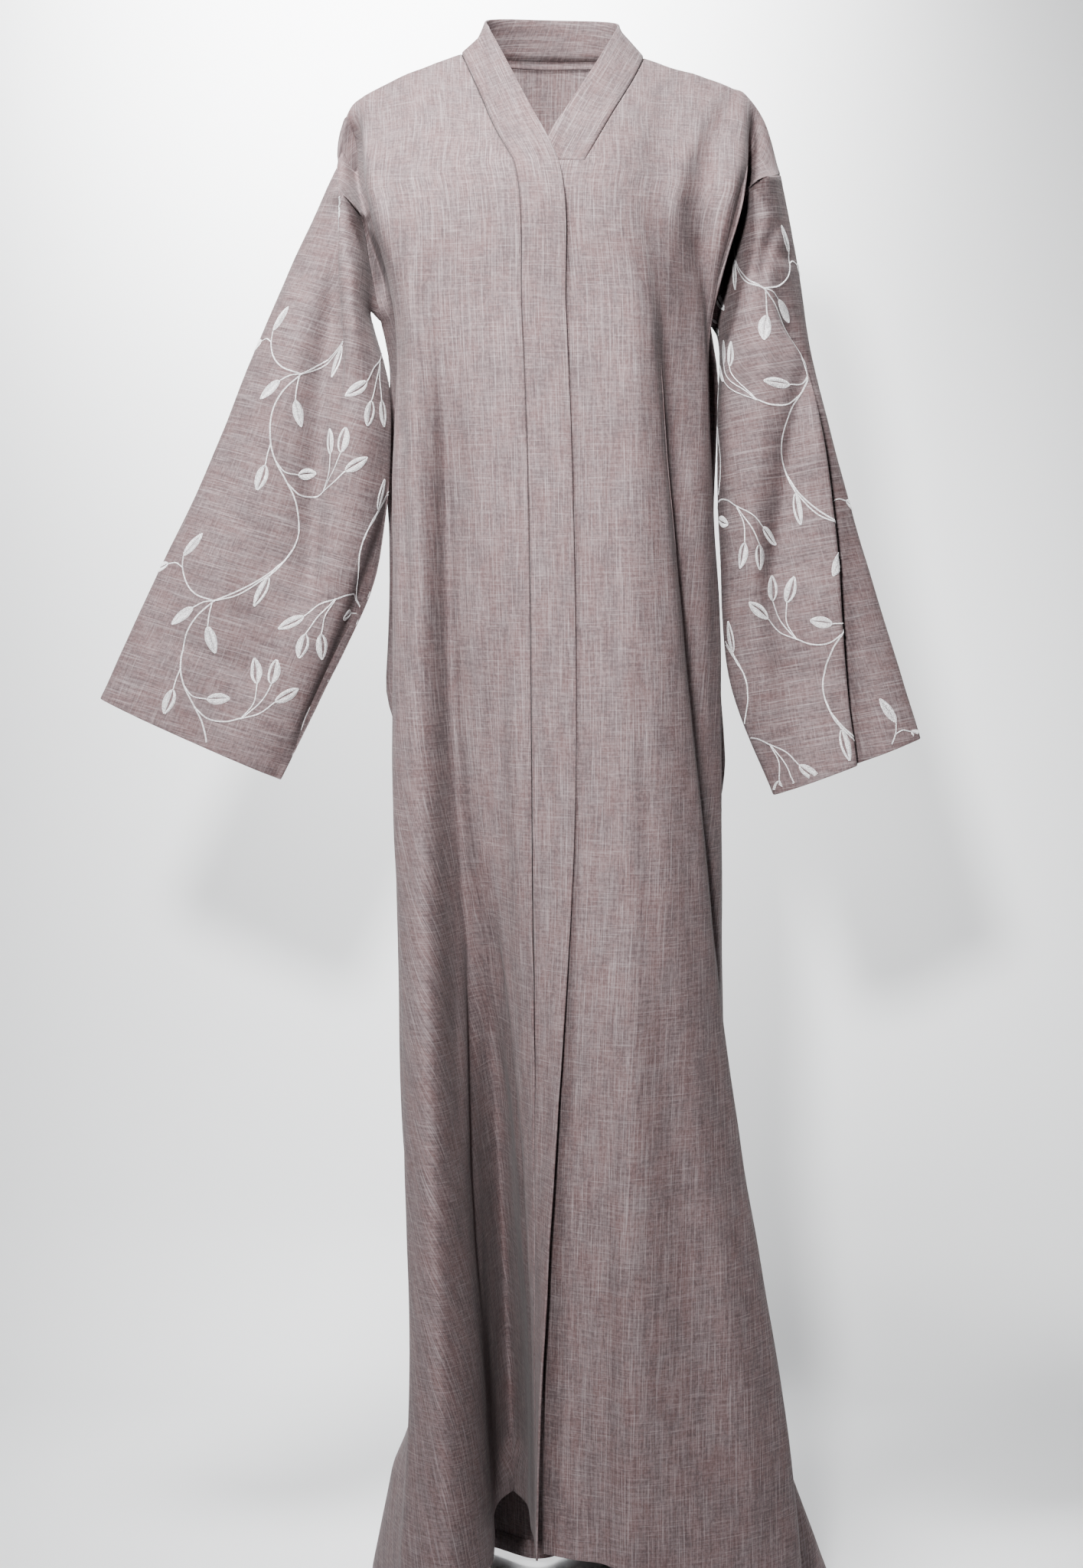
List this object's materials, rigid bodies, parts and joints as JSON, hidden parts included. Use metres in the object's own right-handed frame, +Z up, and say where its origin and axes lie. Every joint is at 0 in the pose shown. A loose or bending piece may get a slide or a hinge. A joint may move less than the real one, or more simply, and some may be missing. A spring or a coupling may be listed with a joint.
{
  "type": "abaya cloak",
  "caption": "Long open-front cloak in mauve slub linen, worn: lapped banded front, wide embroidered sleeves, deep front pleat and a trailing hem.",
  "frame": {"origin": "between the shoulders, at the height of the neckline's side ends, where the wearer's shoulders hold the cloak up", "axes": "+Z up the standing wearer, -Y the way the front faces, +X towards the wearer's left sleeve"},
  "size_m": [0.8049, 0.4896, 1.6121],
  "materials": {
    "linen_cloth": "matt slub weave in mauve grey with paler and darker threads",
    "silver_thread": "satin-stitched pale silver thread with a soft sheen"
  },
  "bodies": {
    "root": {"back": "linen_cloth", "front_right": "linen_cloth", "front_left": "linen_cloth", "sleeve_right": "linen_cloth", "sleeve_left": "linen_cloth", "neck_and_front_band": "linen_cloth"}
  },
  "joints": []
}
